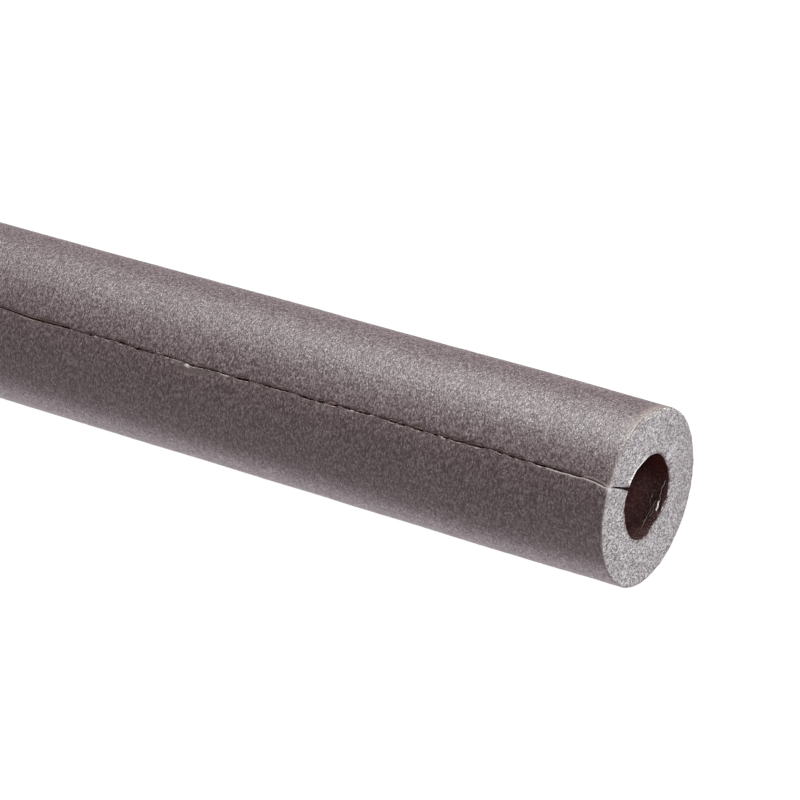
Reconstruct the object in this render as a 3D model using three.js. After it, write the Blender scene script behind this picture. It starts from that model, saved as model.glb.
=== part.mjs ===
// Pipe insulation lagging: one stock length of polyethylene foam tube, slit along its length
// so that it can be opened and pushed over a pipe.
// Millimetres, +Z up. The tube lies along X, with the origin on the bore's axis at mid-length.
// Its cut ends face +X and -X, and the slit is on the -Y side, above the middle.
import * as THREE from "three";

// Sizes of the tube.
const LENGTH = 1000; // sold in one-metre lengths
const BORE_DIAMETER = 17; // slides over a 15 mm pipe with 1 mm to spare all round
const WALL = 9; // thickness of the foam

// The slit runs the whole length and right through the wall. Its two faces nearly touch.
const SLIT_ELEVATION_DEG = 31.5; // how far above the horizontal it lies, seen from the axis
const SLIT_GAP_AT_SKIN = 0.35;
const SLIT_GAP_AT_BORE = 0.8;
const LIP_RADIUS = 0.5; // the skin is drawn in round the lips of the slit

// Facets of the round stretches.
const OUTER_FACETS = 64;
const BORE_FACETS = 40;
const LIP_FACETS = 3;
const SHORTEST_FACET = 0.25; // as a share of a whole one, beside the slit

const OUTER_RADIUS = BORE_DIAMETER / 2 + WALL;
const BORE_RADIUS = BORE_DIAMETER / 2;
const LOWEST_POINT = THREE.MathUtils.degToRad(270);
const SLIT_ANGLE = THREE.MathUtils.degToRad(180 - SLIT_ELEVATION_DEG);
const TURN = 2 * Math.PI;

const FOAM_COLOUR = new THREE.Color().setRGB(0.44, 0.41, 0.425, THREE.SRGBColorSpace);

// A point of the section, from its angle about the axis, counted from +Y towards +Z.
function polar(radius, angle, centre = new THREE.Vector2()) {
  return new THREE.Vector2(Math.cos(angle), Math.sin(angle)).multiplyScalar(radius).add(centre);
}

// The points of a round wall from one angle up to the next, both included. The facets between
// are laid out from the lowest point, so that the tube lies on the middle of a facet.
function roundWall(radius, from, to, facets) {
  const step = TURN / facets;
  const shortest = step * SHORTEST_FACET;
  const firstCorner = LOWEST_POINT + step / 2;
  const points = [polar(radius, from)];
  const before = Math.floor((from - firstCorner) / step);
  for (let corner = before; firstCorner + corner * step < to; corner += 1) {
    const angle = firstCorner + corner * step;
    const clearOfEnds = angle - from > shortest && to - angle > shortest;
    if (clearOfEnds) points.push(polar(radius, angle));
  }
  points.push(polar(radius, to));
  return points;
}

// One lip of the slit: a small round that takes the outer wall over into the face of the slit.
// side is 1 for the lip after the slit, counted round the section, and -1 for the lip before it.
function lip(side) {
  const centreRadius = OUTER_RADIUS - LIP_RADIUS;
  const halfGap = SLIT_GAP_AT_SKIN / 2 + LIP_RADIUS;
  const centreAngle = SLIT_ANGLE + side * Math.asin(halfGap / centreRadius);
  const centre = polar(centreRadius, centreAngle);
  const outwards = centreAngle;
  const intoSlit = SLIT_ANGLE - (side * Math.PI) / 2;
  const points = [];
  for (let i = 0; i <= LIP_FACETS; i += 1) {
    points.push(polar(LIP_RADIUS, THREE.MathUtils.lerp(intoSlit, outwards, i / LIP_FACETS), centre));
  }
  return { points, centreAngle };
}

// The tube's section: a ring that the slit opens.
function slitRing() {
  const after = lip(1);
  const before = lip(-1);
  const boreHalfAngle = Math.asin(SLIT_GAP_AT_BORE / 2 / BORE_RADIUS);
  const outer = roundWall(OUTER_RADIUS, after.centreAngle, before.centreAngle + TURN, OUTER_FACETS);
  const bore = roundWall(
    BORE_RADIUS,
    SLIT_ANGLE + boreHalfAngle,
    SLIT_ANGLE - boreHalfAngle + TURN,
    BORE_FACETS,
  );
  return new THREE.Shape([
    ...after.points.slice(0, -1),
    ...outer,
    ...before.points.slice(0, -1).reverse(),
    ...bore.reverse(),
  ]);
}

function foamTube() {
  const geometry = new THREE.ExtrudeGeometry(slitRing(), { depth: LENGTH, bevelEnabled: false });
  geometry.translate(0, 0, -LENGTH / 2);
  const material = new THREE.MeshStandardMaterial({
    color: FOAM_COLOUR,
    roughness: 0.7,
    metalness: 0,
  });
  const tube = new THREE.Mesh(geometry, material);
  tube.name = "foam_tube";
  // A third of a turn about the diagonal lays the section's plane in YZ and its depth along X.
  tube.quaternion.setFromAxisAngle(new THREE.Vector3(1, 1, 1).normalize(), TURN / 3);
  return tube;
}

const lagging = new THREE.Group();
lagging.add(foamTube());

export default lagging;
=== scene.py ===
# %% [markdown]
# Pipe insulation lagging
# The real thing is a sleeve of grey polyethylene foam, one metre long, slit from end to end so
# that it can be opened and pushed over a pipe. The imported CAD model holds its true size. This
# script gives it the looks: the pebbled skin, the slit that gapes and pinches, the cut ends with
# their open cells, and the dark bore. Everything is in metres, in the frame of the CAD model.

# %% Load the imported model
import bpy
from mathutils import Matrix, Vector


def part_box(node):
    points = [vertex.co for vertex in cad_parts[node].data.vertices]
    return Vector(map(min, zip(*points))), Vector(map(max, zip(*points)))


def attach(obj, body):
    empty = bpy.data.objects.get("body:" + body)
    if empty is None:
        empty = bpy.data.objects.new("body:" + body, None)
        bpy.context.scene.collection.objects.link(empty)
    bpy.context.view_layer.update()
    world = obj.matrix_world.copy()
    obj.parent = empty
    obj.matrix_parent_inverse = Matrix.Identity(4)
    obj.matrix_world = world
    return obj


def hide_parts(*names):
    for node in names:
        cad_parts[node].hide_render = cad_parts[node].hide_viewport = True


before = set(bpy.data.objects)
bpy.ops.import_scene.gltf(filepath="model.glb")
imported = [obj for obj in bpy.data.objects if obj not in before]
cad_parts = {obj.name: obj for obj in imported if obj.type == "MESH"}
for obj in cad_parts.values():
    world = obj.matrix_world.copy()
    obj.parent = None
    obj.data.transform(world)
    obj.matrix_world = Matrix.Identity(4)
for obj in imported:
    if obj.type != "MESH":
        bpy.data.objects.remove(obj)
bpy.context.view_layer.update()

# %% [markdown]
# The sizes come from the CAD node itself, so that the two can't drift apart. The tube lies along
# X. Its highest point gives the radius of the skin, and its vertex nearest the axis gives that of
# the bore.

# %% Sizes of the tube
import math
import random

import bmesh
import bpy
import numpy as np
from mathutils import Vector

MM = 0.001
low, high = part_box("foam_tube")
NEAR_END = high.x
FAR_END = low.x
SKIN_RADIUS = high.z
cad_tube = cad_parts["foam_tube"].data
BORE_RADIUS = min(math.hypot(v.co.y, v.co.z) for v in cad_tube.vertices)
WALL = SKIN_RADIUS - BORE_RADIUS
LENGTH = NEAR_END - FAR_END
print(f"{LENGTH / MM:.0f} mm long")
print(f"skin radius {SKIN_RADIUS / MM:.2f} mm, bore radius {BORE_RADIUS / MM:.2f} mm")

# %% [markdown]
# The camera comes before the looks, because each finish is judged through it. A long lens stands
# in front of the near end, to its side and above it, and looks down along the tube. Its place, its
# aim and its lens were fitted to the outline of the real tube in the photograph.

# %% Camera
CAMERA_PLACE = Vector((0.75872, -0.48447, 0.28925))
CAMERA_AIM = Vector((-0.48747, 0.75342, -0.44128))

camera = bpy.data.objects.new("camera", bpy.data.cameras.new("camera"))
bpy.context.scene.collection.objects.link(camera)
camera.location = CAMERA_PLACE
camera.rotation_mode = "QUATERNION"
camera.rotation_quaternion = CAMERA_AIM.to_track_quat("-Z", "Y")
camera.data.lens = 150.7
camera.data.sensor_width = 36
camera.data.clip_start = 0.05
bpy.context.scene.camera = camera
print("camera", list(CAMERA_PLACE), "lens", camera.data.lens)

# %% [markdown]
# Small helpers serve all the modelling. Operators act on whatever is selected, so one helper
# leaves a single object selected, and another selects parts of its mesh by a test on their place.
# The last gives a point's distance from the axis.

# %% Helpers for selecting
def only(*pieces):
    """Leaves just these objects selected, the first of them active, in object mode."""
    if bpy.context.object and bpy.context.object.mode != "OBJECT":
        bpy.ops.object.mode_set(mode="OBJECT")
    bpy.ops.object.select_all(action="DESELECT")
    for piece in pieces:
        piece.select_set(True)
    bpy.context.view_layer.objects.active = pieces[0]


def pick(piece, kind, test):
    """In edit mode, selects the vertices, edges or faces that pass a test, and counts them."""
    bpy.ops.mesh.select_mode(type=kind)
    bpy.ops.mesh.select_all(action="DESELECT")
    mesh = bmesh.from_edit_mesh(piece.data)
    elements = {"VERT": mesh.verts, "EDGE": mesh.edges, "FACE": mesh.faces}[kind]
    picked = [element for element in elements if test(element)]
    for element in picked:
        element.select_set(True)
    mesh.select_flush_mode()
    bmesh.update_edit_mesh(piece.data)
    return len(picked)


def radius_of(point):
    return math.hypot(point.y, point.z)


# %% [markdown]
# The wall could be two cylinders and a boolean, but then the slit would be one more cut and the
# faces would be long slivers. Seen along the slit, though, the wall is a plain rectangle: as long
# as the tube and as high as the wall is thick. Swept once round the axis it makes skin, bore and
# both cut ends in one go, and the slit is where the sweep begins and ends. So the piece starts as a
# grid for the near stretch, which the camera sees from close by. Two extrusions with wider steps
# carry it to the far end.

# %% The wall as a flat strip
NEAR_STRETCH = 126 * MM
FAR_STRETCH = 24 * MM
MIDDLE_STRETCH = LENGTH - NEAR_STRETCH - FAR_STRETCH
NEAR_STEPS = 158
MIDDLE_STEPS = 122
FAR_STEPS = 24
WALL_STEPS = 18

bpy.ops.object.select_all(action="DESELECT")
strip_middle = Vector((NEAR_END - NEAR_STRETCH / 2, 0, BORE_RADIUS + WALL / 2))
bpy.ops.mesh.primitive_grid_add(
    x_subdivisions=NEAR_STEPS,
    y_subdivisions=WALL_STEPS,
    size=1,
    location=strip_middle,
    rotation=(math.pi / 2, 0, 0),
)
tube = bpy.context.object
tube.name = "lagging"
bpy.ops.object.transform_apply(location=True, rotation=True, scale=True)
bpy.ops.object.mode_set(mode="EDIT")
bpy.ops.mesh.select_all(action="SELECT")
bpy.ops.transform.resize(value=(NEAR_STRETCH, 1, WALL), center_override=strip_middle)


def lengthen(piece, start, span, steps):
    """Draws the strip's last edge on by a span and cuts the new faces into steps."""
    pick(piece, "VERT", lambda v: abs(v.co.x - start) < 0.01 * MM)
    bpy.ops.mesh.extrude_region_move(TRANSFORM_OT_translate={"value": (-span, 0, 0)})
    pick(piece, "EDGE", lambda e: abs(abs(e.verts[0].co.x - e.verts[1].co.x) - span) < 0.01 * MM)
    bpy.ops.mesh.subdivide_edgering(number_cuts=steps - 1, interpolation="LINEAR", smoothness=0)
    return start - span


reached = lengthen(tube, NEAR_END - NEAR_STRETCH, MIDDLE_STRETCH, MIDDLE_STEPS)
reached = lengthen(tube, reached, FAR_STRETCH, FAR_STEPS)
strip_points = len(bmesh.from_edit_mesh(tube.data).verts)
print(f"strip from {NEAR_END} to {reached:.3f} with {strip_points} vertices")

# %% [markdown]
# The bore and the deep part of the slit are dark and plain, and need few rings except near the
# ends, where the camera looks in. Dissolving the spare cross lines now, on the flat strip, is
# quick, and the sweep then makes a light bore by itself.

# %% Thin out the deep part
SHALLOW = 3 * MM
FINE_BORE_NEAR = 26 * MM
FINE_BORE_FAR = 6 * MM
BORE_STEP = 24 * MM

mesh = bmesh.from_edit_mesh(tube.data)
kept = []
for station in sorted({round(v.co.x, 6) for v in mesh.verts}, reverse=True):
    near_a_cut = station > NEAR_END - FINE_BORE_NEAR or station < FAR_END + FINE_BORE_FAR
    if near_a_cut or kept[-1] - station > BORE_STEP:
        kept.append(station)
spare = pick(
    tube,
    "EDGE",
    lambda e: abs(e.verts[0].co.x - e.verts[1].co.x) < 0.001 * MM
    and max(v.co.z for v in e.verts) < SKIN_RADIUS - SHALLOW
    and round(e.verts[0].co.x, 6) not in kept,
)
bpy.ops.mesh.dissolve_edges(use_verts=True)
print(f"{spare} cross lines dissolved, {len(kept)} rings left in the bore")

# %% [markdown]
# The sweep could be the spin operator, which takes a while on so many points. A Screw modifier on
# the outline of the strip does the same at once. The slit stays shut but for a hair. It lies on
# top for now, where the axes line up with it, and the tube is rolled to its place at the end.

# %% Sweep the wall round the bore
COLUMNS = 144
HAIR = 0.04 * MM  # between the faces of the shut slit, at the skin
half_slit = math.asin(HAIR / 2 / SKIN_RADIUS)
sweep = 2 * math.pi - 2 * half_slit

only(tube)
bpy.ops.object.duplicate()
outline = bpy.context.object
bpy.ops.object.mode_set(mode="EDIT")
bpy.ops.mesh.select_all(action="SELECT")
bpy.ops.mesh.region_to_loop()
bpy.ops.mesh.select_all(action="INVERT")
bpy.ops.mesh.delete(type="EDGE")
bpy.ops.object.mode_set(mode="OBJECT")
screw = outline.modifiers.new("sweep", "SCREW")
screw.axis = "X"
screw.angle = sweep
screw.steps = COLUMNS
screw.render_steps = COLUMNS
bpy.ops.object.modifier_apply(modifier=screw.name)
last_column = [v.co.y for v in outline.data.vertices if v.co.z > 0 and abs(v.co.y) < 2 * HAIR]
swept_to = max(last_column, key=abs)
print(f"swept {COLUMNS} columns, the last {swept_to / MM:.3f} mm beside the first")

# %% [markdown]
# The sweep is still an open shell along the slit. The flat strip closes it on one side, and a
# copy of the strip, turned by the width of the slit, on the other. Their borders lie on the
# sweep's, so merging the doubled points makes one closed mesh, whose normals are then set outwards.

# %% Close the slit's two faces
only(tube)
bpy.ops.object.mode_set(mode="EDIT")
bpy.ops.mesh.select_all(action="SELECT")
bpy.ops.mesh.duplicate()
side = -1 if swept_to < 0 else 1
bpy.ops.transform.rotate(value=side * 2 * half_slit, orient_axis="X", center_override=(0, 0, 0))
only(tube, outline)
bpy.ops.object.join()
bpy.ops.object.mode_set(mode="EDIT")
bpy.ops.mesh.select_all(action="SELECT")
bpy.ops.mesh.remove_doubles(threshold=0.002 * MM)
bpy.ops.mesh.normals_make_consistent(inside=False)
bpy.ops.transform.rotate(value=-side * half_slit, orient_axis="X", center_override=(0, 0, 0))
mesh = bmesh.from_edit_mesh(tube.data)
print(
    f"{len(mesh.faces)} faces, open edges {sum(not e.is_manifold for e in mesh.edges)},",
    f"volume {mesh.calc_volume() * 1e6:.1f} cm3",
)

# %% [markdown]
# Foam gives way under the knife, so none of its edges is sharp. The skin is drawn in a little
# round the lips of the slit and round both rims, and the edges inside the wall are only broken.
# Bevels do this best while the mesh is still regular and its edges can be found by their place.

# %% Round the edges
RIM_ROUND = 0.36 * MM
LIP_ROUND = 0.2 * MM
BROKEN_EDGE = 0.14 * MM


def at_cut(vertex):
    return min(abs(vertex.co.x - NEAR_END), abs(vertex.co.x - FAR_END)) < 0.01 * MM


def at_slit(vertex):
    return vertex.co.z > 0 and abs(vertex.co.y) < HAIR


def at_radius(vertex, radius):
    return abs(radius_of(vertex.co) - radius) < 0.02 * MM


def rim(edge):
    return all(at_cut(v) and at_radius(v, SKIN_RADIUS) for v in edge.verts)


def lip(edge):
    return all(at_slit(v) and v.co.z > SKIN_RADIUS - 0.02 * MM for v in edge.verts)


def inner_edge(edge):
    mouth = all(at_radius(v, BORE_RADIUS) for v in edge.verts)
    slit_end = all(at_slit(v) for v in edge.verts)
    return all(at_cut(v) for v in edge.verts) and (mouth or slit_end)


ROUNDINGS = ((rim, RIM_ROUND, 3), (lip, LIP_ROUND, 3), (inner_edge, BROKEN_EDGE, 2))
for edges, rounding, segments in ROUNDINGS:
    rounded = pick(tube, "EDGE", edges)
    bpy.ops.mesh.bevel(offset=rounding, segments=segments, affect="EDGES")
    print(f"{edges.__name__}: {rounded} edges rounded to {rounding / MM:.2f} mm")

# %% [markdown]
# The lips of the slit and the mouth of the bore have shapes less than a millimetre across, and
# need more points than the rest. The lips are cut crosswise only, as the bevel has already given
# them points enough the other way. Subdividing just there keeps the piece light.

# %% More points where the detail is
LIP_DEPTH = 1.7 * MM  # how deep into the slit, and how far beside it, the points are added
LIP_REACH = 1.2 * MM
LONG_EDGE = 0.3 * MM
CRINKLED_DEPTH = 11 * MM


def along_the_lips(edge):
    """The lengthwise edges beside the slit, in the near stretch."""
    first, second = (vertex.co for vertex in edge.verts)
    return (
        min(first.x, second.x) > NEAR_END - NEAR_STRETCH - 0.01 * MM
        and abs(first.x - second.x) > LONG_EDGE
        and min(first.z, second.z) > SKIN_RADIUS - LIP_DEPTH
        and max(abs(first.y), abs(second.y)) < LIP_REACH
    )


def crinkled(face):
    """The bore's wall just inside the near mouth, on the side away from the slit."""
    middle = face.calc_center_median()
    return (
        radius_of(middle) < BORE_RADIUS + 0.01 * MM
        and NEAR_END - CRINKLED_DEPTH < middle.x < NEAR_END - 0.2 * MM
        and middle.z < 0.9 * BORE_RADIUS
        and (middle.y > -0.2 * BORE_RADIUS or middle.z < -0.6 * BORE_RADIUS)
    )


pick(tube, "EDGE", along_the_lips)
bpy.ops.mesh.subdivide(number_cuts=3)
pick(tube, "FACE", crinkled)
bpy.ops.mesh.subdivide(number_cuts=2)
mesh = bmesh.from_edit_mesh(tube.data)
print(f"{len(mesh.faces)} faces, {sum(len(f.verts) - 2 for f in mesh.faces)} triangles")

# %% [markdown]
# The tube has three finishes, and their faces are told apart now, while it is still a true
# cylinder: the skin with its rounded edges, the cut foam of the ends and of the slit, and the
# film inside the bore. One mesh with three materials keeps the borders between them closed.

# %% Finishes by place
SKIN, CUT, BORE = range(3)
finish_names = ("lagging skin", "cut foam", "bore film")
for name in finish_names:
    tube.data.materials.append(bpy.data.materials.new(name))


def finish_of(face):
    middle = face.calc_center_median()
    if radius_of(middle) < BORE_RADIUS + 0.02 * MM:
        return BORE
    if abs(face.normal.x) > 0.8 or (middle.z > 0 and abs(middle.y) < 0.6 * HAIR):
        return CUT
    near_an_edge = radius_of(middle) > SKIN_RADIUS - RIM_ROUND
    return SKIN if near_an_edge else CUT


for face in mesh.faces:
    face.material_index = finish_of(face)
bmesh.update_edit_mesh(tube.data)
only(tube)
counts = [sum(p.material_index == index for p in tube.data.polygons) for index in range(3)]
print(dict(zip(finish_names, counts)))

# %% [markdown]
# From here on the shape is pushed about as a modeller would do with a soft brush: a vertex group
# says how strongly each point is held, and a Displace modifier moves the points along one axis. The
# group is painted by a rule on the points' places, so that it stays the same on every run. A
# Clouds texture on the modifier makes the push uneven.

# %% Helpers for painting and pushing
def places(piece):
    """The vertices' places as three arrays of x, y and z."""
    flat = np.empty(len(piece.data.vertices) * 3)
    piece.data.vertices.foreach_get("co", flat)
    return flat.reshape(-1, 3).T


def hump(distance, width):
    """A soft brush: 1 in its middle, falling to nothing at about twice the width."""
    return np.exp(-((distance / width) ** 2))


def push(piece, weights, direction, amount, clouds=None):
    """Displaces the painted points by an amount, along X, Y, Z or their normals."""
    held = piece.vertex_groups.new(name="brush")
    for index in np.flatnonzero(weights > 0.001):
        held.add([int(index)], float(weights[index]), "REPLACE")
    brush = piece.modifiers.new("push", "DISPLACE")
    brush.direction = direction
    brush.strength = amount
    brush.mid_level = 0
    brush.vertex_group = "brush"
    if clouds:
        brush.texture = bpy.data.textures.new("clouds", "CLOUDS")
        brush.texture.noise_scale = clouds
        brush.texture.noise_depth = 1
        brush.texture_coords = "LOCAL"
        brush.mid_level = 0.5
    bpy.ops.object.modifier_apply(modifier=brush.name)
    piece.vertex_groups.remove(piece.vertex_groups["brush"])


def keep_mask(piece, name, values):
    """Stores a painted mask on the mesh, where a material can read it."""
    mask = piece.data.attributes.new(name, "FLOAT", "POINT")
    mask.data.foreach_set("value", np.clip(values, 0, 1))


x, y, z = places(tube)
radius = np.hypot(y, z)
from_end = NEAR_END - x
above_slit = z > 0
print(f"{len(x)} vertices to paint")

# %% [markdown]
# Some marks belong to one spot of the real tube: the skin turns pale where the knife dragged at the
# lips, further along the lower one, and its corner at the cut is torn. A smooth smear lies under
# the slit, and a white fleck of torn film sticks to the lower lip. Short shreds of pale film hang
# along the rest of the lips, here and there. Above the slit, the bore's film stands up round the
# mouth, and its edge is painted white as a painted highlight. Three more masks say how far a point
# lies beside the slit, how deep inside the slit, and how far out from the mouth. All are painted
# before the lips are pushed out of line, so that they travel with them.

# %% Masks for the materials
draw = random.Random(7)
PALE_LIPS = {"upper": 5.2 * MM, "lower": 13 * MM}  # from the near end
SMEAR_PLACE = 92.1 * MM
FLECK_PLACE = 94.2 * MM
SHRED_SPACING = 7 * MM
BESIDE_SPAN = 6.0  # millimetres, with the slit in the middle

beside_slit = np.clip(y / (BESIDE_SPAN * MM) + 0.5, 0, 1)
keep_mask(tube, "beside", np.where(above_slit, beside_slit, 1))
pale_until = np.where(y < 0, PALE_LIPS["lower"], PALE_LIPS["upper"])
dragged = 1 / (1 + np.exp((from_end - pale_until) / (0.7 * MM)))
for _ in range(int(LENGTH / SHRED_SPACING)):
    shred = draw.uniform(PALE_LIPS["lower"], LENGTH)
    one_lip = (y > 0) if draw.random() < 0.5 else (y < 0)
    paleness = draw.uniform(0.25, 0.6)
    half_length = draw.uniform(0.3, 1.4) * MM
    dragged = np.maximum(dragged, paleness * hump(from_end - shred, half_length) * one_lip)
keep_mask(tube, "lip", dragged * above_slit * (radius > SKIN_RADIUS - 0.6 * MM))
torn_corner = hump(from_end, 0.6 * MM) * hump(y + 0.1 * MM, 0.6 * MM) * above_slit
keep_mask(tube, "torn", torn_corner * (radius > SKIN_RADIUS - 1.2 * MM))
inside_slit = above_slit * (abs(y) < 2 * HAIR) * (radius < SKIN_RADIUS - 0.25 * MM)
clear_of_cuts = (from_end > 0.3 * MM) * (from_end < LENGTH - 0.3 * MM)
keep_mask(tube, "inside", inside_slit * clear_of_cuts)
# The standing film's edge gets a painted highlight in the cut foam.
film_stands = hump(y - 2.5 * MM, 4 * MM) * above_slit * (from_end < 0.2 * MM)
keep_mask(tube, "film", 1.7 * film_stands)
keep_mask(tube, "mouth", (radius - BORE_RADIUS) / (2 * MM))
smear = 1.3 * hump(from_end - SMEAR_PLACE, 3.2 * MM) * above_slit
keep_mask(tube, "smear", smear * (radius > BORE_RADIUS + WALL / 2))
fleck = 1.3 * hump(from_end - FLECK_PLACE, 0.5 * MM) * above_slit
keep_mask(tube, "fleck", fleck * (radius > SKIN_RADIUS - 0.5 * MM))
print("masks", [item.name for item in tube.data.attributes if item.data_type == "FLOAT"])

# %% [markdown]
# The slit gapes in short lenses, up to most of a millimetre wide, with pinched places between
# them where the lips still touch. The near ones follow the real tube. The rest, out of the
# camera's view, are drawn at random with the same lengths. Two millimetres down, the slit is shut
# again.

# %% The gaps along the slit
# For each gap: distance of its middle from the near end and half its length, in millimetres, and
# how wide it is beside the others.
GAPS = [
    (2.9, 2, 0.12), (7.3, 1.5, 0.12), (10.9, 2.2, 0.18), (14.9, 1.8, 0.24), (18.8, 1, 0.36),
    (21, 0.8, 0.4), (23.5, 0.8, 0.28), (28.8, 2.1, 0.5), (32.6, 1.8, 0.42), (35.2, 0.6, 0.32),
    (37.5, 0.8, 0.4), (41.4, 1.4, 0.5), (45, 0.8, 0.52), (46.9, 1, 0.42), (49, 1.4, 0.18),
    (53.6, 1.7, 0.36), (57.2, 1, 0.28), (60.5, 1.3, 0.48), (63.2, 1, 0.4), (66.5, 1.7, 0.24),
    (72.5, 1.9, 0.36), (75.6, 1.3, 0.34), (81.6, 1.9, 0.46), (87, 3, 0.12), (92.2, 2.1, 0.42),
    (98.5, 1.4, 0.14), (103.7, 1.6, 0.14), (106.5, 1.3, 0.42), (110.6, 1.3, 0.36),
]
WIDEST_GAP = 0.84 * MM
GAP_DEPTH = 2 * MM

reach = 113.0  # where the camera's view ends, in millimetres
while reach < LENGTH / MM - 6:
    half = draw.uniform(0.6, 2.4)
    GAPS.append((reach + half, half, draw.uniform(0.12, 0.45)))
    reach += 2 * half + draw.uniform(0.4, 4)

gape = np.zeros_like(x)
widest = max(width for _, _, width in GAPS)
for middle, half, width in GAPS:
    across = (from_end / MM - middle) / half
    gape = np.maximum(gape, np.sqrt(np.clip(1 - across**2, 0, 1)) * width / widest)
closing = np.clip(1 - (SKIN_RADIUS - radius) / GAP_DEPTH, 0, 1)
lips = gape * closing * hump(y, 1.2 * MM) * above_slit
push(tube, lips * (y > 0), "Y", WIDEST_GAP / 2)
push(tube, lips * (y < 0), "Y", -WIDEST_GAP / 2)
print(f"{len(GAPS)} gaps, the widest {lips.max() * WIDEST_GAP / MM:.2f} mm")

# %% [markdown]
# Nothing about a knife cut in foam is straight. The slit wanders by a few tenths of a millimetre,
# its lips are ragged, less so in the drawn stretch by the near end, and it opens into a notch
# towards the bore.

# %% The slit wanders and opens to the bore
NOTCH = 0.35 * MM

along_slit = above_slit * (radius > BORE_RADIUS - 0.1 * MM)
push(tube, hump(y, 3 * MM) * along_slit, "Y", 0.9 * MM, clouds=13 * MM)
ragged = along_slit * closing * (1 - 0.65 * hump(from_end, 11 * MM))
push(tube, hump(y, 0.5 * MM) * ragged, "Y", 0.36 * MM, clouds=0.8 * MM)
push(tube, hump(y, 0.8 * MM) * along_slit * closing, "Z", -0.04 * MM)
push(tube, hump(y, 0.8 * MM) * ragged, "Z", 0.26 * MM, clouds=0.9 * MM)
deep = np.clip((SKIN_RADIUS - radius) / WALL, 0, 1)  # 0 at the skin, 1 at the bore
soft_start = 1 / (1 + np.exp(-(deep - 0.3) / 0.06))
notch = (0.5 * soft_start + 0.7 * deep**8) * hump(y, 1.5 * MM) * above_slit
push(tube, notch * (y > 0), "Y", NOTCH)
push(tube, notch * (y < 0), "Y", -NOTCH)
print(f"notch {2 * (notch.max() * NOTCH + half_slit * BORE_RADIUS) / MM:.2f} mm wide at the bore")

# %% [markdown]
# The skin isn't a perfect cylinder either. It is pebbled by the cells beneath it and has slow
# hollows from handling. Each push is set a little inwards first, so that the tube keeps its size.

# %% Hollows and pebbles in the skin
# For each kind of unevenness: how long it is, and how deep.
UNEVEN = ((22 * MM, 0.16 * MM), (3.2 * MM, 0.08 * MM), (1.5 * MM, 0.04 * MM))
SHARE_INWARDS = 1 / 12  # of the depth

on_skin = np.clip((radius - (SKIN_RADIUS - 0.5 * MM)) / (0.5 * MM), 0, 1)
clear_of_slit = 1 - hump(y, 1 * MM) * above_slit
for clouds, uneven in UNEVEN:
    push(tube, on_skin * clear_of_slit, "NORMAL", -uneven * SHARE_INWARDS)
    push(tube, on_skin * clear_of_slit, "NORMAL", uneven, clouds=clouds)
print(f"skin up to {max(radius_of(v.co) for v in tube.data.vertices) / MM:.2f} mm from the axis")

# %% [markdown]
# A saw or a knife leaves the cut ends slightly uneven. On this tube the bore's film stands a
# little proud of the near end above the slit, and the upper part of the near rim is rubbed off.
# The angles below are those of the finished tube, where the slit isn't on top but rolled down to
# the side, so the roll is subtracted from them.

# %% Uneven cut ends and a rubbed rim
SLIT_ANGLE = 148.5  # degrees round the axis, from +Y towards +Z
ROLL = SLIT_ANGLE - 90

around = np.degrees(np.arctan2(z, y)) + ROLL


def near_angle(angle, width):
    """A brush that reaches a stretch of the wall round one angle."""
    away = (around - angle + 180) % 360 - 180
    return hump(away, width)


for end, inwards in ((NEAR_END, -1), (FAR_END, 1)):
    face = hump(x - end, 0.35 * MM) * (radius > BORE_RADIUS - 0.1 * MM)
    push(tube, face, "X", inwards * 0.09 * MM)
    for clouds, uneven in ((4 * MM, 0.3 * MM), (1.3 * MM, 0.22 * MM)):
        push(tube, face, "X", uneven, clouds=clouds)

push(tube, film_stands * (radius < BORE_RADIUS + 0.2 * MM), "X", 0.25 * MM)

RUBBED_ANGLE = 86
RUBBED_BACK = 0.35 * MM  # along the tube, and inwards
RUBBED_DOWN = 0.14 * MM

at_rim = hump(SKIN_RADIUS - radius, 0.9 * MM) * hump(from_end, 1.4 * MM)
rubbed = near_angle(RUBBED_ANGLE, 26) * at_rim
keep_mask(tube, "rubbed", rubbed)
push(tube, rubbed, "X", -RUBBED_BACK)
for axis, share in (("Y", math.cos), ("Z", math.sin)):
    push(tube, rubbed, axis, -RUBBED_DOWN * share(math.radians(RUBBED_ANGLE - ROLL)))
print(f"{np.count_nonzero(rubbed > 0.5)} points in the rubbed rim")

# %% [markdown]
# The bore is lined by a thin film that formed when the tube was drawn over its core. Just inside
# the near mouth it has come loose and lies in a few sharp wavy wrinkles, roughly in step with the
# rim. They could be curves laid on the wall, but a film has no edge there, so the wall itself is
# pushed up into ridges.

# %% Wrinkles in the bore's film
# For each wrinkle: the angle of its middle and how far it reaches on both sides, in degrees, then
# its depth below the mouth, its slant, its bend and its width, in millimetres, and last how bright
# its painted highlight is.
WRINKLES = [
    (-55, 24, 2.35, -0.1, -0.55, 0.26, 0.36),
    (-33, 10, 3, 0.15, -0.33, 0.2, 0.24),
    (-15, 15, 1.25, -0.27, -0.5, 0.26, 0.34),
    (-38, 7.5, 0.9, 0.1, 0, 0.56, 1),
    (-50, 8, 1.72, -0.08, 0, 0.22, 0.2),
]

in_bore = radius < BORE_RADIUS + 0.05 * MM
for angle, reach, depth_in, slant, bend, width, _ in WRINKLES:
    share = (around - angle) / reach
    ridge = hump(from_end - (depth_in + slant * share + bend * share**2) * MM, 2 * width * MM)
    push(tube, ridge * near_angle(angle, reach) * in_bore, "NORMAL", 0.5 * width * MM)
push(tube, in_bore * hump(from_end, 60 * MM), "NORMAL", 0.16 * MM, clouds=2.4 * MM)
narrowest = min(radius_of(v.co) for v in tube.data.vertices)
print(f"{len(WRINKLES)} wrinkles, bore from {narrowest / MM:.2f} mm from the axis")

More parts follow.
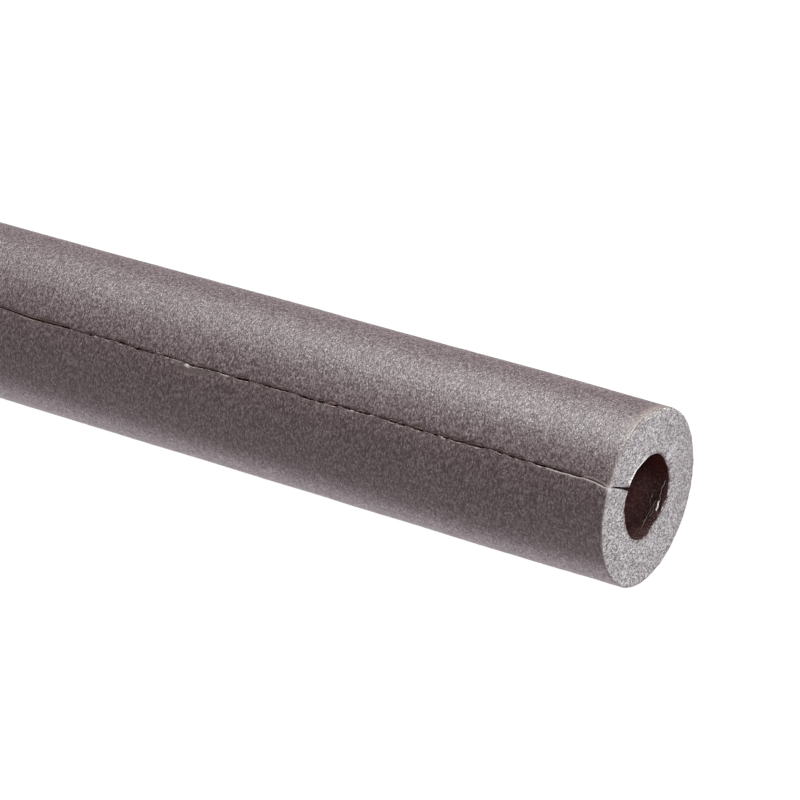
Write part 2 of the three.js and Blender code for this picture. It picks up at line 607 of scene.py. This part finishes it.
# %% [markdown]
# The last pushes take in the whole wall. Where it was cut, the near end has sprung a little out of
# round: it stands proud just above the slit and is flatter below it, and the bore sits a little to
# one side. In its last few millimetres the slit isn't quite radial either, and the last push
# flattens the mouth below, right at the cut.

# %% The near end out of round
# For each push on the skin: the angle of its middle, how far it reaches, both in degrees, and how
# far it goes, in millimetres.
SKIN_SPRINGS = [(137, 15, 0.3), (62, 20, -0.18), (212, 30, -0.4), (330, 46, 0.4)]
# For each push on the bore: the same, with the angle that it goes towards third, and last how
# closely it keeps to the bore.
BORE_SPRINGS = [
    (265, 50, 265, -0.5, 1), (132, 34, 134, 0.9, 2), (162, 26, 194, 0.6, 2), (18, 42, 18, -0.7, 1),
    (325, 30, 325, -0.45, 1),
]


def push_at_angle(piece, weights, angle, amount):
    """Pushes away from the axis at one angle of the finished tube."""
    toward = math.radians(angle - ROLL)
    push(piece, weights, "Y", amount * math.cos(toward))
    push(piece, weights, "Z", amount * math.sin(toward))


slanted = hump(from_end, 2.6 * MM) * hump(y, 2.4 * MM) * above_slit
push(tube, slanted * (1 - deep) ** 2, "Y", -0.85 * MM)
push(tube, slanted * deep**2, "Y", 0.42 * MM)
sprung = hump(from_end, 14 * MM)
for angle, width, amount in SKIN_SPRINGS:
    push_at_angle(tube, sprung * (1 - deep) * near_angle(angle, width), angle, amount * MM)
for angle, width, toward, amount, power in BORE_SPRINGS:
    push_at_angle(tube, sprung * deep**power * near_angle(angle, width), toward, amount * MM)
FLAT_ANGLE = 298
at_mouth = hump(from_end, 2 * MM) * deep**2
push_at_angle(tube, at_mouth * near_angle(FLAT_ANGLE, 26), FLAT_ANGLE, -0.7 * MM)
print(f"{len(SKIN_SPRINGS)} pushes on the skin and {len(BORE_SPRINGS) + 1} on the bore")

# %% [markdown]
# The shape is finished, so the slit can leave the top. Every point turns round the axis by the
# same angle, which puts the slit where the real tube has it, a little above the middle.

# %% Roll the slit to its place
only(tube)
bpy.ops.object.mode_set(mode="EDIT")
bpy.ops.mesh.select_all(action="SELECT")
bpy.ops.transform.rotate(value=-math.radians(ROLL), orient_axis="X", center_override=(0, 0, 0))
bpy.ops.object.mode_set(mode="OBJECT")
bpy.ops.object.shade_smooth_by_angle(angle=math.radians(50))
x, y, z = places(tube)
lips_at = np.argsort(-lips)[:200]
slit_angle = np.degrees(np.arctan2(z[lips_at], y[lips_at])).mean()
print(f"slit at {slit_angle:.1f} degrees, tube from z {z.min() / MM:.2f} to {z.max() / MM:.2f} mm")

# %% [markdown]
# The materials are built from nodes in code, and these helpers make that readable. The first two
# fill a node's inputs, with plain values or with the outputs of other nodes, and add such a node.
# Four more do sums and mix values and colours. The last two start a node group with named sockets,
# and place it in a material, so that several materials can share an effect.

# %% Helpers for nodes
def fill(tree, made, inputs):
    for name, value in inputs.items():
        if isinstance(value, bpy.types.NodeSocket):
            tree.links.new(value, made.inputs[name])
        else:
            made.inputs[name].default_value = value


def node(tree, kind, inputs=None, **fields):
    """Adds a shader node, sets its fields, then fills its inputs."""
    made = tree.nodes.new("ShaderNode" + kind)
    for name, value in fields.items():
        setattr(made, name, value)
    fill(tree, made, inputs or {})
    return made


def sums(tree, operation, *values):
    return node(tree, "Math", dict(enumerate(values)), operation=operation).outputs[0]


def times(tree, product, *factors):
    for factor in factors:
        product = sums(tree, "MULTIPLY", product, factor)
    return product


def fade(tree, value, start, end, low=0.0, high=1.0):
    """Goes smoothly from low to high while the value goes from start to end."""
    inputs = {"Value": value, "From Min": start, "From Max": end, "To Min": low, "To Max": high}
    return node(tree, "MapRange", inputs, interpolation_type="SMOOTHSTEP").outputs["Result"]


def blend(tree, factor, first, second):
    """Mixes two colours, each given as red, green and blue or as an output that holds one."""
    first, second = ((*c, 1) if isinstance(c, tuple) else c for c in (first, second))
    mix = node(tree, "Mix", {0: factor, 6: first, 7: second}, data_type="RGBA")
    return mix.outputs[2]


def new_group(name, inputs, outputs):
    """A node group with named sockets. Returns its tree, its input node and its output node."""
    tree = bpy.data.node_groups.new(name, "ShaderNodeTree")
    for label, kind, value in inputs:
        socket = tree.interface.new_socket(label, in_out="INPUT", socket_type="NodeSocket" + kind)
        if value is not None:
            socket.default_value = value
    for label, kind in outputs:
        tree.interface.new_socket(label, in_out="OUTPUT", socket_type="NodeSocket" + kind)
    return tree, tree.nodes.new("NodeGroupInput"), tree.nodes.new("NodeGroupOutput")


def use(tree, group, **inputs):
    """Places a group in a material with its own values."""
    return node(tree, "Group", inputs, node_tree=group).outputs


# %% [markdown]
# The finishes change by place on the tube: near the cut, at the rim, round the mouth. All that
# follows from the Object coordinates, because the axis of the tube is the X axis. This group
# hands out the distance from the nearer end and from the axis, in millimetres.

# %% Group: place on the tube
tube_place, _, end = new_group(
    "Tube place",
    [],
    [("Millimetres", "Vector"), ("From end", "Float"), ("From axis", "Float")],
)
coordinates = node(tube_place, "TexCoord").outputs["Object"]
in_mm = {0: coordinates, "Scale": 1 / MM}
scaled = node(tube_place, "VectorMath", in_mm, operation="SCALE").outputs[0]
parts = node(tube_place, "SeparateXYZ", {0: scaled}).outputs
distance_from_middle = sums(tube_place, "ABSOLUTE", parts["X"])
from_nearer_end = sums(tube_place, "SUBTRACT", LENGTH / 2 / MM, distance_from_middle)
flattened = node(tube_place, "CombineXYZ", {"Y": parts["Y"], "Z": parts["Z"]}).outputs[0]
from_axis = node(tube_place, "VectorMath", {0: flattened}, operation="LENGTH").outputs["Value"]
fill(tube_place, end, {"Millimetres": scaled, "From end": from_nearer_end, "From axis": from_axis})
print(tube_place.name, [socket.name for socket in tube_place.interface.items_tree])

# %% [markdown]
# Polyethylene foam is a froth of closed cells. Under the skin they show as pebbles, stretched
# round the tube by the extruder. In the cut they lie open. One group gives both: cells of a
# given size along X, Y and Z, as a height for bumps, as specks where the walls of the cells catch
# the light, and as pits. Its last output gives each cell a value of its own, so that some pebbles
# are glossier than others.

# %% Group: foam cells
foam_cells, start, end = new_group(
    "Foam cells",
    [("Place", "Vector", None), ("Size", "Vector", (0.5, 0.5, 0.5)), ("Seed", "Float", 0.0)],
    [("Height", "Float"), ("Specks", "Float"), ("Pits", "Float"), ("Luck", "Float")],
)
place_and_size = {0: start.outputs["Place"], 1: start.outputs["Size"]}
stretched = node(foam_cells, "VectorMath", place_and_size, operation="DIVIDE").outputs[0]
seed = sums(foam_cells, "MULTIPLY", start.outputs["Seed"], 17.3)
moved = node(foam_cells, "VectorMath", {0: stretched, 1: seed}, operation="ADD").outputs[0]
cell = node(foam_cells, "TexVoronoi", {"Vector": moved, "Scale": 1.0, "Randomness": 1.0})
swelling = {"Vector": moved, "Scale": 0.6, "Detail": 3.0, "Roughness": 0.65}
swell = node(foam_cells, "TexNoise", swelling)
domes = sums(foam_cells, "SUBTRACT", 1.0, sums(foam_cells, "POWER", cell.outputs["Distance"], 2.0))
height = sums(foam_cells, "ADD", times(foam_cells, domes, 0.4), swell.outputs["Fac"])
luck = node(foam_cells, "SeparateXYZ", {0: cell.outputs["Color"]}).outputs[0]
core = fade(foam_cells, cell.outputs["Distance"], 0.6, 0.2)
specks = times(foam_cells, core, fade(foam_cells, luck, 0.7, 0.95))
pits = times(foam_cells, core, fade(foam_cells, luck, 0.4, 0.1))
blurred = fade(foam_cells, cell.outputs["Distance"], 0.75, 0.25)
off_half = sums(foam_cells, "SUBTRACT", luck, 0.5)
around_half = sums(foam_cells, "MULTIPLY_ADD", off_half, blurred, 0.5)
fill(foam_cells, end, {"Height": height, "Specks": specks, "Pits": pits, "Luck": around_half})
print(foam_cells.name, [socket.name for socket in foam_cells.interface.items_tree])

# %% [markdown]
# Slow changes of tone, a few millimetres to centimetres long, keep a plain grey from looking
# painted. The same group serves every finish, with its own size.

# %% Group: cloudy tone
cloudy_tone, start, end = new_group(
    "Cloudy tone",
    [("Place", "Vector", None), ("Size", "Float", 10.0)],
    [("Tone", "Float")],
)
place_and_size = {0: start.outputs["Place"], 1: start.outputs["Size"]}
clouds_at = node(cloudy_tone, "VectorMath", place_and_size, operation="DIVIDE").outputs[0]
cloud = node(cloudy_tone, "TexNoise", {"Vector": clouds_at, "Scale": 1.0, "Detail": 3.0})
fill(cloudy_tone, end, {"Tone": fade(cloudy_tone, cloud.outputs["Fac"], 0.3, 0.7)})
print(cloudy_tone.name, "ready")

# %% [markdown]
# Each finish starts in the same way, and reads the masks that were painted on the mesh. The mask
# for the distance beside the slit is turned back into millimetres, below 0 on the lower lip.

# %% Helpers for the finishes
def start_material(name):
    """Opens a material and returns its tree and its shader."""
    material = bpy.data.materials[name]
    material.use_nodes = True
    return material.node_tree, material.node_tree.nodes["Principled BSDF"]


def emboss(tree, shader, height, depth):
    """Turns a height into relief, which shades the surface but leaves the mesh as it is."""
    relief = node(tree, "Bump", {"Height": height, "Distance": depth, "Strength": 1.0})
    fill(tree, shader, {"Normal": relief.outputs["Normal"]})


def painted(tree, name):
    return node(tree, "Attribute", attribute_name=name).outputs["Fac"]


def beside_the_slit(tree):
    return sums(tree, "MULTIPLY_ADD", painted(tree, "beside"), BESIDE_SPAN, -BESIDE_SPAN / 2)


def apart(tree, value, middle):
    """How far a value lies from the middle of a mark, to either side."""
    return sums(tree, "ABSOLUTE", sums(tree, "SUBTRACT", value, middle))


def bearing_of(tree, spot):
    """The angle round the axis, in degrees from +Y towards +Z."""
    return sums(tree, "DEGREES", sums(tree, "ARCTAN2", spot["Z"], spot["Y"]))


# %% [markdown]
# The skin is the foam's own film: a purple-brown grey, satin, with pebbles that sparkle where the
# light grazes them. A noise alone would look like paint, so its grey follows the foam's cells:
# painted shade between the pebbles and in their pits, lighter on the pebbles, and a few small
# sparks of painted highlight.

# %% Skin: the pebbled grey
PEBBLE_SIZE = (0.275, 0.5, 0.5)  # millimetres along the tube, and across it both ways
SHADE_BETWEEN_PEBBLES = (0.045, 0.027, 0.03)
PEBBLE_GREYS = (0.146, 0.109, 0.112), (0.16, 0.12, 0.123)
SKIN_PIT_SHADE = (0.04, 0.02, 0.022)
PAINTED_SPARK = (0.34, 0.3, 0.305)

tree, shader = start_material("lagging skin")
place = use(tree, tube_place)
cells = use(tree, foam_cells, Place=place["Millimetres"], Size=PEBBLE_SIZE)
tone = use(tree, cloudy_tone, Place=place["Millimetres"], Size=9.0)["Tone"]
pebbles = fade(tree, cells["Height"], 0.6, 1.03)
# Painted shade darkens the grey between the pebbles and in the pits. Painted sparks of highlight
# lighten a few pebbles.
grey = blend(tree, pebbles, SHADE_BETWEEN_PEBBLES, blend(tree, tone, *PEBBLE_GREYS))
grey = blend(tree, times(tree, cells["Pits"], 0.65), grey, SKIN_PIT_SHADE)
grey = blend(tree, fade(tree, cells["Specks"], 0.2, 0.9, 0.0, 0.36), grey, PAINTED_SPARK)
print("pebbled grey", len(tree.nodes), "nodes")

# %% [markdown]
# At the cut the skin ends in a thin tan edge, which is fuzzy where the rim is rubbed. It shows most
# on the lower half, so it is stronger there. Along the slit the very edge of both lips is painted
# darker, as painted shade of the slit, which makes the slit read as one dark line. Only where the
# film was drawn out, by the near end and at a few shreds, do the lips stay pale.

# %% Skin: its edges
TAN_EDGE = (0.26, 0.21, 0.186)
LIP_SHADE_GREY = (0.045, 0.024, 0.025)
DRAWN_FILM = (0.22, 0.178, 0.17)
UPPER_FILM = 0.5  # how far the pale film reaches over the upper lip, in millimetres
LOWER_FILM = 0.33

level = node(tree, "SeparateXYZ", {0: place["Millimetres"]}).outputs["Z"]
stronger_below = fade(tree, level, 6.0, -8.0, 0.5, 0.95)
edge = times(tree, fade(tree, place["From end"], 0.45, 0.05), stronger_below)
fuzz = times(tree, painted(tree, "rubbed"), fade(tree, cells["Height"], 0.95, 0.7, 0.15, 0.8))
colour = blend(tree, sums(tree, "MAXIMUM", edge, fuzz), grey, TAN_EDGE)

beside = beside_the_slit(tree)
from_slit = sums(tree, "ABSOLUTE", beside)
pale_lip = painted(tree, "lip")
clear_of_pale = fade(tree, sums(tree, "MAXIMUM", pale_lip, edge), 0.4, 0.12)
# Painted shade: the very edge of both lips is darkened, so that the slit reads as one dark line.
painted_lip_shade = times(tree, fade(tree, from_slit, 0.5, 0.2, 0.0, 0.72), clear_of_pale)
colour = blend(tree, painted_lip_shade, colour, LIP_SHADE_GREY)

on_upper = sums(tree, "GREATER_THAN", beside, 0.0)
film_reach = sums(tree, "MULTIPLY_ADD", on_upper, UPPER_FILM - LOWER_FILM, LOWER_FILM)
on_film = fade(tree, sums(tree, "SUBTRACT", from_slit, film_reach), 0.06, -0.1)
drawn = times(tree, on_film, fade(tree, pale_lip, 0.25, 0.6), 0.8)
colour = blend(tree, drawn, colour, DRAWN_FILM)
print("edges", len(tree.nodes), "nodes")

# %% [markdown]
# The three marks that belong to one spot each are a smooth smear below the slit, a white fleck on
# the lower lip and the torn corner at the cut. Their masks say where they lie along the tube, and
# the distance beside the slit says how wide they are.

# %% Skin: smear, fleck and torn corner
SMEAR_GREY = (0.088, 0.066, 0.063)
TORN_FILM = (0.42, 0.37, 0.365)
SMEAR_BESIDE = -0.95  # millimetres from the slit
FLECK_BESIDE = -0.3

smear_wide = fade(tree, apart(tree, beside, SMEAR_BESIDE), 1.2, 0.5)
smear = times(tree, painted(tree, "smear"), smear_wide)
colour = blend(tree, times(tree, smear, 0.9), colour, SMEAR_GREY)
fleck_wide = fade(tree, apart(tree, beside, FLECK_BESIDE), 0.32, 0.16)
fleck = times(tree, painted(tree, "fleck"), fleck_wide)
torn_places = sums(tree, "MAXIMUM", fleck, painted(tree, "torn"))
colour = blend(tree, torn_places, colour, TORN_FILM)
fill(tree, shader, {"Base Color": colour})
print("marks", len(tree.nodes), "nodes")

# %% [markdown]
# The skin's gloss comes from a coat over a rough base. Pebble by pebble it is stronger or weaker,
# and it grows where the skin turns away from the eye, more so on the underside, which mirrors the
# table. The relief uses the same cells, so that pebbles and gloss agree. The smear is nearly flat.

# %% Skin: gloss and relief
grazing = node(tree, "LayerWeight").outputs["Facing"]
gloss = fade(tree, cells["Luck"], 0.1, 0.9, 0.0, 0.2)
more_below = fade(tree, level, 11.0, -12.0, 0.0, 1.6)
rim_gloss = times(tree, fade(tree, cells["Luck"], 0.2, 0.8, 0.12, 0.56), more_below)
gloss = sums(tree, "MULTIPLY_ADD", fade(tree, grazing, 0.38, 0.68), rim_gloss, gloss)
gloss = times(tree, gloss, sums(tree, "SUBTRACT", 1.0, painted_lip_shade))
fill(tree, shader, {"Coat Weight": gloss, "Coat IOR": 2.6, "Coat Roughness": 0.42})
satin = fade(tree, cells["Specks"], 0.0, 0.5, 0.42, 0.3)
fill(tree, shader, {"Roughness": satin, "Specular IOR Level": 0.34})

smoothed = sums(tree, "MULTIPLY_ADD", smear, -0.85, 1.0)
emboss(tree, shader, times(tree, cells["Height"], smoothed), 0.2 * MM)
print("lagging skin", len(tree.nodes), "nodes")

# %% [markdown]
# The knife opens the cells, so the cut is lighter and duller than the skin: a pale grey sponge,
# with painted shade inside the open cells and in dark pits, and painted highlights on bright cell
# walls and in white specks. Holes in the mesh would cost far too many faces at this size, so the
# cells are colour and bump.

# %% Cut foam: open cells
OPEN_CELL_SIZE = (0.36, 0.42, 0.23)
CUT_GREYS = (0.605, 0.594, 0.604), (0.71, 0.7, 0.708)
CELL_SHADE = (0.18, 0.156, 0.164)
LIT_CELL_WALL = (0.99, 0.99, 1.0)
CUT_PIT_SHADE = (0.08, 0.058, 0.064)
SPECK_HIGHLIGHT = (1.0, 0.99, 0.995)

tree, shader = start_material("cut foam")
place = use(tree, tube_place)
cells = use(tree, foam_cells, Place=place["Millimetres"], Size=OPEN_CELL_SIZE, Seed=3.0)
tone = use(tree, cloudy_tone, Place=place["Millimetres"], Size=2.5)["Tone"]
sponge = blend(tree, tone, *CUT_GREYS)
# Painted shade in the open cells and the pits, and painted highlights on the cell walls and in the
# specks.
sponge = blend(tree, fade(tree, cells["Height"], 0.83, 0.66, 0.0, 0.95), sponge, CELL_SHADE)
sponge = blend(tree, fade(tree, cells["Height"], 0.86, 0.98, 0.0, 0.95), sponge, LIT_CELL_WALL)
sponge = blend(tree, times(tree, cells["Pits"], 0.8), sponge, CUT_PIT_SHADE)
sponge = blend(tree, cells["Specks"], sponge, SPECK_HIGHLIGHT)
fill(tree, shader, {"Roughness": 0.6})
emboss(tree, shader, cells["Height"], 0.34 * MM)
print("open cells", len(tree.nodes), "nodes")

# %% [markdown]
# The cut is painted a little darker towards its far side, and the knife left one faint pale scratch
# on the near end, from the bore outwards. At the rim, where the skin is seen edge on, runs a thin
# tan line, which is frayed where the rim is rubbed.

# %% Cut foam: soiling, scratch and rim
FAR_SIDE_GREY = (0.36, 0.33, 0.34)
SCRATCH_PALE = (0.97, 0.96, 0.96)
SCRATCH_BEARING = 36.0  # degrees
CUT_TAN = (0.28, 0.23, 0.2)

spot = node(tree, "SeparateXYZ", {0: place["Millimetres"]}).outputs
# The far side of the cut, towards +Y, is painted a little darker.
colour = blend(tree, fade(tree, spot["Y"], 3.0, 14.0, 0.0, 0.28), sponge, FAR_SIDE_GREY)
off_scratch = apart(tree, bearing_of(tree, spot), SCRATCH_BEARING)
fades_outwards = fade(tree, place["From axis"], 13.0, 10.5, 0.0, 0.45)
near_end_only = sums(tree, "GREATER_THAN", spot["X"], 0.0)
scratch = times(tree, fade(tree, off_scratch, 4.0, 0.5), fades_outwards, near_end_only)
colour = blend(tree, scratch, colour, SCRATCH_PALE)

skin_at = SKIN_RADIUS / MM
rim_line = times(tree, fade(tree, place["From axis"], skin_at - 0.8, skin_at - 0.3), 0.35)
frayed = times(tree, painted(tree, "rubbed"), fade(tree, cells["Height"], 0.95, 0.7, 0.55, 0.95))
colour = blend(tree, sums(tree, "MAXIMUM", rim_line, frayed), colour, CUT_TAN)
print("darkening, scratch and rim", len(tree.nodes), "nodes")

# %% [markdown]
# Round the mouth of the bore the cut is painted brown, except where the film stands up. There the
# film's edge is painted near white, a painted highlight where it catches the light, and the torn
# corner is pale film. The faces of the slit meet in a crease near the bore, painted dark as painted
# shade. Inside the slit the foam is painted a warm brown, as painted light, because the little
# light in there has passed through foam. It is painted lighter than it looks, or the gaps would be
# black.

# %% Cut foam: mouth and slit
MOUTH_BROWN = (0.1, 0.06, 0.056)
PALE_AND_HIGHLIT_FILM = (0.97, 0.95, 0.94)
CREASE_SHADE = (0.13, 0.08, 0.07)
INSIDE_SLIT_LIGHT = (0.55, 0.41, 0.385)

mouth = painted(tree, "mouth")
stands = painted(tree, "film")
mouth_brown = times(
    tree,
    fade(tree, mouth, 0.4, 0.04),
    fade(tree, cells["Height"], 0.92, 0.7, 0.3, 1.0),
    sums(tree, "SUBTRACT", 1.0, stands),
)
colour = blend(tree, mouth_brown, colour, MOUTH_BROWN)
# Painted highlight on the standing film's edge, together with the pale torn corner.
film_edge_highlight = times(tree, fade(tree, mouth, 0.2, 0.13), stands)
torn_and_highlit_places = sums(tree, "MAXIMUM", painted(tree, "torn"), film_edge_highlight)
colour = blend(tree, torn_and_highlit_places, colour, PALE_AND_HIGHLIT_FILM)
# Painted shade in the crease of the slit near the bore.
from_slit = sums(tree, "ABSOLUTE", beside_the_slit(tree))
near_bore = fade(tree, place["From axis"], 12.5, 9.3, 0.0, 0.8)
colour = blend(tree, times(tree, fade(tree, from_slit, 0.65, 0.15), near_bore), colour, CREASE_SHADE)
# Painted light: the inside of the slit is lighter and warmer than its shade would leave it.
colour = blend(tree, painted(tree, "inside"), colour, INSIDE_SLIT_LIGHT)
fill(tree, shader, {"Base Color": colour})
print("cut foam", len(tree.nodes), "nodes")

# %% [markdown]
# The film in the bore is smooth, brown and glossy, with a faint grain. Almost no light gets in, so
# it looks nearly black, and its brown is painted lighter further in, as painted light, or it would
# not show at all. Its grain is painted darker in the hollows, as painted shade, with specks of
# painted highlight. The upper half is painted darker and redder, as painted shade.

# %% Bore film: its brown
FILM_GRAIN_SIZE = (0.36, 0.32, 0.32)
FILM_BROWNS = (0.056, 0.029, 0.027), (0.09, 0.053, 0.05)
DEEP_LIT_BROWN = (0.145, 0.068, 0.065)
FILM_HOLLOW_SHADE = (0.02, 0.006, 0.006)
FILM_SPECK_HIGHLIGHT = (0.32, 0.2, 0.19)
UPPER_SHADE_BROWN = (0.04, 0.006, 0.005)

tree, shader = start_material("bore film")
place = use(tree, tube_place)
spot = node(tree, "SeparateXYZ", {0: place["Millimetres"]}).outputs
cells = use(tree, foam_cells, Place=place["Millimetres"], Size=FILM_GRAIN_SIZE, Seed=5.0)
tone = use(tree, cloudy_tone, Place=place["Millimetres"], Size=3.0)["Tone"]
# Painted light: the brown is lighter deeper in the bore.
deeper = fade(tree, place["From end"], 1.5, 7.0)
film = blend(tree, deeper, blend(tree, tone, *FILM_BROWNS), DEEP_LIT_BROWN)
# Painted shade in the grain's hollows, and specks of painted highlight.
film = blend(tree, fade(tree, cells["Height"], 0.95, 0.65, 0.0, 0.5), film, FILM_HOLLOW_SHADE)
film = blend(tree, times(tree, cells["Specks"], 0.5), film, FILM_SPECK_HIGHLIGHT)
# Painted shade: the upper half is darker and redder.
film = blend(tree, fade(tree, spot["Z"], -3.0, 4.0, 0.0, 0.85), film, UPPER_SHADE_BROWN)
glossy = fade(tree, tone, 0.0, 1.0, 0.16, 0.26)
fill(tree, shader, {"Roughness": glossy, "Specular IOR Level": 0.85})
print("brown film", len(tree.nodes), "nodes")

# %% [markdown]
# The wrinkles are real ridges in the mesh, but too soft there to glint. So the same list sharpens
# them in the material: a groove in the relief on each, a pale line on its deeper side, a painted
# highlight where the film catches the light, and a dark one on the side of the mouth, where it
# hides the light.

# %% Bore film: its wrinkles
WRINKLE_HIGHLIGHT = (0.98, 0.85, 0.83)
WRINKLE_SHADE = (0.03, 0.008, 0.008)


def band(tree, off, middle, outer, inner, strength, window):
    """A soft line along a wrinkle, with its middle a little to one side of the ridge."""
    return times(tree, fade(tree, apart(tree, off, middle), outer, inner, 0.0, strength), window)


bearing = bearing_of(tree, spot)
shiver = times(tree, sums(tree, "SINE", times(tree, bearing, 0.6)), 0.07)
from_mouth = sums(tree, "ADD", place["From end"], shiver)
grooves = wrinkle_highlights = shaded = 0.0
for angle, reach, depth_in, slant, bend, width, paleness in WRINKLES:
    share = times(tree, sums(tree, "SUBTRACT", bearing, angle), 1 / reach)
    bowed = times(tree, sums(tree, "MULTIPLY_ADD", share, bend, slant), share)
    off = sums(tree, "SUBTRACT", sums(tree, "SUBTRACT", from_mouth, depth_in), bowed)
    window = fade(tree, sums(tree, "ABSOLUTE", share), 1.2, 0.7)
    sharpness = width * (0.6 + 0.4 * paleness)
    groove = band(tree, off, 0.0, width, 0.0, sharpness, window)
    # The pale line is a painted highlight along the wrinkle.
    line = band(tree, off, 0.45 * width, 0.4 * width, 0.1 * width, paleness, window)
    shade = band(tree, off, -0.5 * width, 0.6 * width, 0.2 * width, 0.5, window)
    grooves = sums(tree, "MAXIMUM", groove, grooves)
    wrinkle_highlights = sums(tree, "MAXIMUM", line, wrinkle_highlights)
    shaded = sums(tree, "MAXIMUM", shade, shaded)
film = blend(tree, shaded, film, WRINKLE_SHADE)
# Painted highlights along the wrinkles, broken up cell by cell.
broken = times(tree, wrinkle_highlights, fade(tree, cells["Luck"], 0.2, 0.6, 0.5, 1.0))
film = blend(tree, broken, film, WRINKLE_HIGHLIGHT)
fill(tree, shader, {"Base Color": film})
grain = sums(tree, "SUBTRACT", times(tree, cells["Height"], 0.04), grooves)
emboss(tree, shader, grain, 0.5 * MM)
print("bore film", len(tree.nodes), "nodes")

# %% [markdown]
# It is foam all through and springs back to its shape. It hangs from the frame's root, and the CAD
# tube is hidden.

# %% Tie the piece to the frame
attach(tube, "root")
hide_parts("foam_tube")
print(tube.name, len(tube.data.vertices), "vertices")

# %% [markdown]
# The studio is a white table that brightens the tube's underside, a dim room, and two lamps. One
# is big and soft and hangs almost straight above. It draws the broad sheen along the top and
# shows the pebbles. The other is small and stands in front, where it lights the cut end and the
# mouth of the bore. Table and room are dim, and the table faintly pink, only for the light that
# they shed. The camera sees both as plain white.
#
# The table comes first. It glows by itself, so the tube throws no hard shadow on it and its
# white stays even to the edge of the picture.

# %% White table
TABLE_LIGHT = (0.88, 0.795, 0.83)

bpy.ops.object.select_all(action="DESELECT")
bpy.ops.mesh.primitive_plane_add(size=30, location=(0, 0, -SKIN_RADIUS))
table = bpy.context.object
table.name = "table"
table.data.materials.append(bpy.data.materials.new("white table"))
tree, shader = start_material("white table")
dull = {"Base Color": (0.02, 0.02, 0.02, 1), "Roughness": 1.0, "Specular IOR Level": 0.0}
fill(tree, shader, dull)
seen_directly = node(tree, "LightPath").outputs["Is Camera Ray"]
glow = blend(tree, seen_directly, TABLE_LIGHT, (1, 1, 1))
fill(tree, shader, {"Emission Color": glow, "Emission Strength": 1.0})
print("table", table.dimensions[:])

# %% [markdown]
# The room is the world's background. Light Path tells the camera's own rays from those that light
# the tube. The lamps are placed by their angle round the tube, as the sheen moves round it with
# them. The big one is faintly cool, which brings the sheen to a neutral grey.

# %% Room and lamps
ROOM_LIGHT = 0.13  # the share of its white that the room sheds as light

world = bpy.data.worlds.new("studio")
world.use_nodes = True
tree = world.node_tree
seen_directly = node(tree, "LightPath").outputs["Is Camera Ray"]
strength = sums(tree, "MULTIPLY_ADD", seen_directly, 1 - ROOM_LIGHT, ROOM_LIGHT)
fill(tree, tree.nodes["Background"], {"Color": (1, 1, 1, 1), "Strength": strength})
bpy.context.scene.world = world


def lamp(name, angle, along, distance, size, power, colour=(1, 1, 1)):
    """A soft lamp, at an angle round the tube's axis, that faces the visible stretch."""
    light = bpy.data.lights.new(name, "AREA")
    light.shape = "RECTANGLE"
    light.size, light.size_y = size
    light.energy = power
    light.color = colour
    holder = bpy.data.objects.new(name, light)
    bpy.context.scene.collection.objects.link(holder)
    turned = math.radians(angle)
    offset = Vector((along, distance * math.cos(turned), distance * math.sin(turned)))
    seen = Vector((NEAR_END - 60 * MM, 0, 0))
    holder.location = seen + offset
    holder.rotation_mode = "QUATERNION"
    holder.rotation_quaternion = (-offset).to_track_quat("-Z", "Y")
    return holder


COOL_WHITE = (0.945, 1, 0.995)
lamp("sheen", angle=80, along=0.0, distance=1.5, size=(0.9, 0.9), power=60, colour=COOL_WHITE)
lamp("front", angle=130, along=0.88, distance=1.5, size=(0.2, 0.4), power=9.5)
bpy.context.scene.view_settings.view_transform = "Standard"
